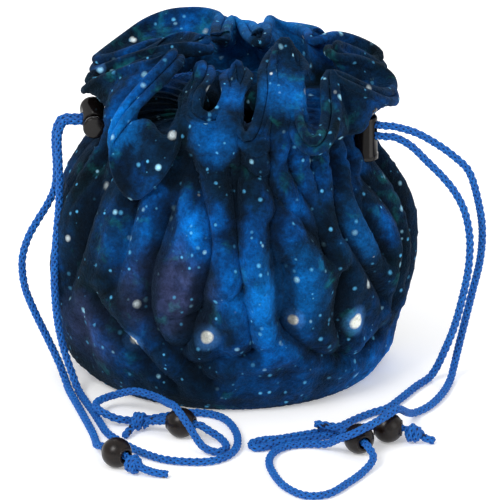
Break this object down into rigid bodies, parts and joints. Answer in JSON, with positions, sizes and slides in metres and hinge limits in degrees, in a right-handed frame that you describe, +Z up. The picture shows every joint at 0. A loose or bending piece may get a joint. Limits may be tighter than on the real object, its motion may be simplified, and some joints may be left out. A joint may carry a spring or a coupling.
{
  "type": "drawstring dice bag",
  "caption": "Soft plush drawstring pouch for dice, standing on a round base, with two cord locks and beaded cord ends.",
  "frame": {"origin": "middle of the underside of the base, where the pouch stands", "axes": "+Z up through the mouth, front towards -Y, the cord locks towards +X and -X"},
  "size_m": [0.1634, 0.1887, 0.122],
  "materials": {
    "plush_print": "short-pile plush with a printed night sky",
    "plush_lining": "short-pile plush with a printed night sky",
    "cord_braid": "braided polyester cord",
    "lock_plastic": "moulded, glossy",
    "spring_steel": "bright wire",
    "bead_wood": "dyed black, satin"
  },
  "bodies": {
    "pouch": {"outer_front_panel": "plush_print", "outer_back_panel": "plush_print", "outer_base": "plush_print", "lining_front_panel": "plush_lining", "lining_back_panel": "plush_lining", "lining_base": "plush_lining", "right_drawstring": "cord_braid", "left_drawstring": "cord_braid", "cord_left_outer": "cord_braid", "cord_left_inner": "cord_braid", "cord_right_outer": "cord_braid", "cord_right_inner": "cord_braid", "knot_left_outer": "cord_braid", "knot_left_inner": "cord_braid", "knot_right_outer": "cord_braid", "knot_right_inner": "cord_braid"},
    "right_lock": {"right_lock_barrel": "lock_plastic", "right_lock_spring": "spring_steel"},
    "right_button": {"right_lock_plunger": "lock_plastic"},
    "left_lock": {"left_lock_barrel": "lock_plastic", "left_lock_spring": "spring_steel"},
    "left_button": {"left_lock_plunger": "lock_plastic"},
    "bead_left_outer_body": {"bead_left_outer": "bead_wood"},
    "bead_left_inner_body": {"bead_left_inner": "bead_wood"},
    "bead_right_outer_body": {"bead_right_outer": "bead_wood"},
    "bead_right_inner_body": {"bead_right_inner": "bead_wood"}
  },
  "joints": [
    {"name": "right_lock_slide", "type": "slide", "parent": "pouch", "child": "right_lock", "axis": [0.9659, -0.2588, 0], "range_m": [0, 0.005]},
    {"name": "right_button_press", "type": "slide", "parent": "right_lock", "child": "right_button", "axis": [0, 0, -1], "range_m": [0, 0.0022], "stiffness_N_per_m": 400, "springref_m": -0.002, "deforming": ["right_lock_spring"]},
    {"name": "left_lock_slide", "type": "slide", "parent": "pouch", "child": "left_lock", "axis": [-0.9986, -0.0523, 0], "range_m": [0, 0.005]},
    {"name": "left_button_press", "type": "slide", "parent": "left_lock", "child": "left_button", "axis": [-0.0523, 0.9986, 0], "range_m": [0, 0.0022], "stiffness_N_per_m": 400, "springref_m": -0.002, "deforming": ["left_lock_spring"]},
    {"name": "bead_left_outer_spin", "type": "hinge", "parent": "pouch", "child": "bead_left_outer_body", "pos_m": [-0.0401, -0.0978, 0.0053], "axis": [0.6869, -0.7267, 0], "continuous": true},
    {"name": "bead_left_inner_spin", "type": "hinge", "parent": "pouch", "child": "bead_left_inner_body", "pos_m": [-0.0179, -0.071, 0.0053], "axis": [-0.9404, 0.3401, 0], "continuous": true},
    {"name": "bead_right_outer_spin", "type": "hinge", "parent": "pouch", "child": "bead_right_outer_body", "pos_m": [0.04375, -0.0854, 0.0053], "axis": [-0.4051, 0.9143, 0], "continuous": true},
    {"name": "bead_right_inner_spin", "type": "hinge", "parent": "pouch", "child": "bead_right_inner_body", "pos_m": [0.0539, -0.0753, 0.0053], "axis": [0.995, -0.1, 0], "continuous": true}
  ]
}
